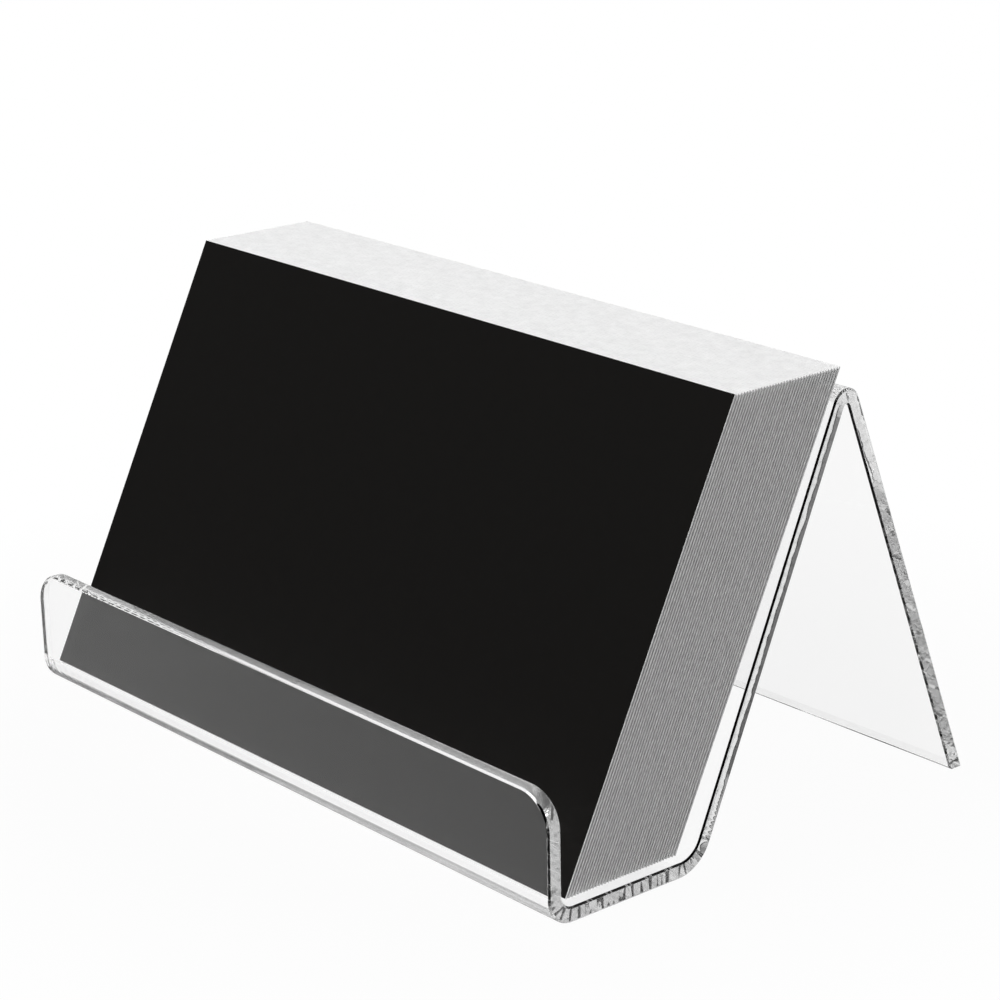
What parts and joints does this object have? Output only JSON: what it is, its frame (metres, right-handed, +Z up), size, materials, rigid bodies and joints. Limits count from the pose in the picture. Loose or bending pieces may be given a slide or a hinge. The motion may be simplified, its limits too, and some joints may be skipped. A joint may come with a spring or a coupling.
{
  "type": "business card stand",
  "caption": "Heat-bent clear acrylic desk stand with a low front lip, a sloping backrest and a folded rear leg, loaded with a pack of loose business cards that lift out.",
  "frame": {"origin": "on the desk, below the middle of the stand's box", "axes": "+X to the right along the lip, +Y from the lip to the rear leg, +Z up"},
  "size_m": [0.0914, 0.0642, 0.0514],
  "materials": {
    "clear_acrylic": "clear cast acrylic sheet, polished faces, scraped and polished edges",
    "black_card": "matt black printed face on white card stock, square-cut white edges",
    "white_card": "uncoated white card stock, square-cut edges"
  },
  "bodies": {
    "stand": {"acrylic_stand": "clear_acrylic"},
    "front_card": {"front_card": "black_card"},
    "card_02": {"card_02": "white_card"},
    "card_03": {"card_03": "white_card"},
    "card_04": {"card_04": "white_card"},
    "card_05": {"card_05": "white_card"},
    "card_06": {"card_06": "white_card"},
    "card_07": {"card_07": "white_card"},
    "card_08": {"card_08": "white_card"},
    "card_09": {"card_09": "white_card"},
    "card_10": {"card_10": "white_card"},
    "card_11": {"card_11": "white_card"},
    "card_12": {"card_12": "white_card"},
    "card_13": {"card_13": "white_card"},
    "card_14": {"card_14": "white_card"},
    "card_15": {"card_15": "white_card"},
    "card_16": {"card_16": "white_card"},
    "card_17": {"card_17": "white_card"},
    "card_18": {"card_18": "white_card"},
    "card_19": {"card_19": "white_card"},
    "card_20": {"card_20": "white_card"},
    "card_21": {"card_21": "white_card"},
    "card_22": {"card_22": "white_card"},
    "card_23": {"card_23": "white_card"},
    "card_24": {"card_24": "white_card"},
    "card_25": {"card_25": "white_card"},
    "card_26": {"card_26": "white_card"},
    "card_27": {"card_27": "white_card"},
    "card_28": {"card_28": "white_card"},
    "card_29": {"card_29": "white_card"},
    "card_30": {"card_30": "white_card"},
    "card_31": {"card_31": "white_card"},
    "card_32": {"card_32": "white_card"},
    "card_33": {"card_33": "white_card"},
    "card_34": {"card_34": "white_card"},
    "card_35": {"card_35": "white_card"},
    "card_36": {"card_36": "white_card"},
    "card_37": {"card_37": "white_card"},
    "card_38": {"card_38": "white_card"}
  },
  "joints": [
    {"name": "front_card_lift", "type": "slide", "parent": "stand", "child": "front_card", "axis": [0, 0.4255, 0.9049], "range_m": [0, 0.06]},
    {"name": "card_02_lift", "type": "slide", "parent": "stand", "child": "card_02", "axis": [0, 0.4255, 0.9049], "range_m": [0, 0.06]},
    {"name": "card_03_lift", "type": "slide", "parent": "stand", "child": "card_03", "axis": [0, 0.4255, 0.9049], "range_m": [0, 0.06]},
    {"name": "card_04_lift", "type": "slide", "parent": "stand", "child": "card_04", "axis": [0, 0.4255, 0.9049], "range_m": [0, 0.06]},
    {"name": "card_05_lift", "type": "slide", "parent": "stand", "child": "card_05", "axis": [0, 0.4255, 0.9049], "range_m": [0, 0.06]},
    {"name": "card_06_lift", "type": "slide", "parent": "stand", "child": "card_06", "axis": [0, 0.4255, 0.9049], "range_m": [0, 0.06]},
    {"name": "card_07_lift", "type": "slide", "parent": "stand", "child": "card_07", "axis": [0, 0.4255, 0.9049], "range_m": [0, 0.06]},
    {"name": "card_08_lift", "type": "slide", "parent": "stand", "child": "card_08", "axis": [0, 0.4255, 0.9049], "range_m": [0, 0.06]},
    {"name": "card_09_lift", "type": "slide", "parent": "stand", "child": "card_09", "axis": [0, 0.4255, 0.9049], "range_m": [0, 0.06]},
    {"name": "card_10_lift", "type": "slide", "parent": "stand", "child": "card_10", "axis": [0, 0.4255, 0.9049], "range_m": [0, 0.06]},
    {"name": "card_11_lift", "type": "slide", "parent": "stand", "child": "card_11", "axis": [0, 0.4255, 0.9049], "range_m": [0, 0.06]},
    {"name": "card_12_lift", "type": "slide", "parent": "stand", "child": "card_12", "axis": [0, 0.4255, 0.9049], "range_m": [0, 0.06]},
    {"name": "card_13_lift", "type": "slide", "parent": "stand", "child": "card_13", "axis": [0, 0.4255, 0.9049], "range_m": [0, 0.06]},
    {"name": "card_14_lift", "type": "slide", "parent": "stand", "child": "card_14", "axis": [0, 0.4255, 0.9049], "range_m": [0, 0.06]},
    {"name": "card_15_lift", "type": "slide", "parent": "stand", "child": "card_15", "axis": [0, 0.4255, 0.9049], "range_m": [0, 0.06]},
    {"name": "card_16_lift", "type": "slide", "parent": "stand", "child": "card_16", "axis": [0, 0.4255, 0.9049], "range_m": [0, 0.06]},
    {"name": "card_17_lift", "type": "slide", "parent": "stand", "child": "card_17", "axis": [0, 0.4255, 0.9049], "range_m": [0, 0.06]},
    {"name": "card_18_lift", "type": "slide", "parent": "stand", "child": "card_18", "axis": [0, 0.4255, 0.9049], "range_m": [0, 0.06]},
    {"name": "card_19_lift", "type": "slide", "parent": "stand", "child": "card_19", "axis": [0, 0.4255, 0.9049], "range_m": [0, 0.06]},
    {"name": "card_20_lift", "type": "slide", "parent": "stand", "child": "card_20", "axis": [0, 0.4255, 0.9049], "range_m": [0, 0.06]},
    {"name": "card_21_lift", "type": "slide", "parent": "stand", "child": "card_21", "axis": [0, 0.4255, 0.9049], "range_m": [0, 0.06]},
    {"name": "card_22_lift", "type": "slide", "parent": "stand", "child": "card_22", "axis": [0, 0.4255, 0.9049], "range_m": [0, 0.06]},
    {"name": "card_23_lift", "type": "slide", "parent": "stand", "child": "card_23", "axis": [0, 0.4255, 0.9049], "range_m": [0, 0.06]},
    {"name": "card_24_lift", "type": "slide", "parent": "stand", "child": "card_24", "axis": [0, 0.4255, 0.9049], "range_m": [0, 0.06]},
    {"name": "card_25_lift", "type": "slide", "parent": "stand", "child": "card_25", "axis": [0, 0.4255, 0.9049], "range_m": [0, 0.06]},
    {"name": "card_26_lift", "type": "slide", "parent": "stand", "child": "card_26", "axis": [0, 0.4255, 0.9049], "range_m": [0, 0.06]},
    {"name": "card_27_lift", "type": "slide", "parent": "stand", "child": "card_27", "axis": [0, 0.4255, 0.9049], "range_m": [0, 0.06]},
    {"name": "card_28_lift", "type": "slide", "parent": "stand", "child": "card_28", "axis": [0, 0.4255, 0.9049], "range_m": [0, 0.06]},
    {"name": "card_29_lift", "type": "slide", "parent": "stand", "child": "card_29", "axis": [0, 0.4255, 0.9049], "range_m": [0, 0.06]},
    {"name": "card_30_lift", "type": "slide", "parent": "stand", "child": "card_30", "axis": [0, 0.4255, 0.9049], "range_m": [0, 0.06]},
    {"name": "card_31_lift", "type": "slide", "parent": "stand", "child": "card_31", "axis": [0, 0.4255, 0.9049], "range_m": [0, 0.06]},
    {"name": "card_32_lift", "type": "slide", "parent": "stand", "child": "card_32", "axis": [0, 0.4255, 0.9049], "range_m": [0, 0.06]},
    {"name": "card_33_lift", "type": "slide", "parent": "stand", "child": "card_33", "axis": [0, 0.4255, 0.9049], "range_m": [0, 0.06]},
    {"name": "card_34_lift", "type": "slide", "parent": "stand", "child": "card_34", "axis": [0, 0.4255, 0.9049], "range_m": [0, 0.06]},
    {"name": "card_35_lift", "type": "slide", "parent": "stand", "child": "card_35", "axis": [0, 0.4255, 0.9049], "range_m": [0, 0.06]},
    {"name": "card_36_lift", "type": "slide", "parent": "stand", "child": "card_36", "axis": [0, 0.4255, 0.9049], "range_m": [0, 0.06]},
    {"name": "card_37_lift", "type": "slide", "parent": "stand", "child": "card_37", "axis": [0, 0.4255, 0.9049], "range_m": [0, 0.06]},
    {"name": "card_38_lift", "type": "slide", "parent": "stand", "child": "card_38", "axis": [0, 0.4255, 0.9049], "range_m": [0, 0.06]}
  ]
}
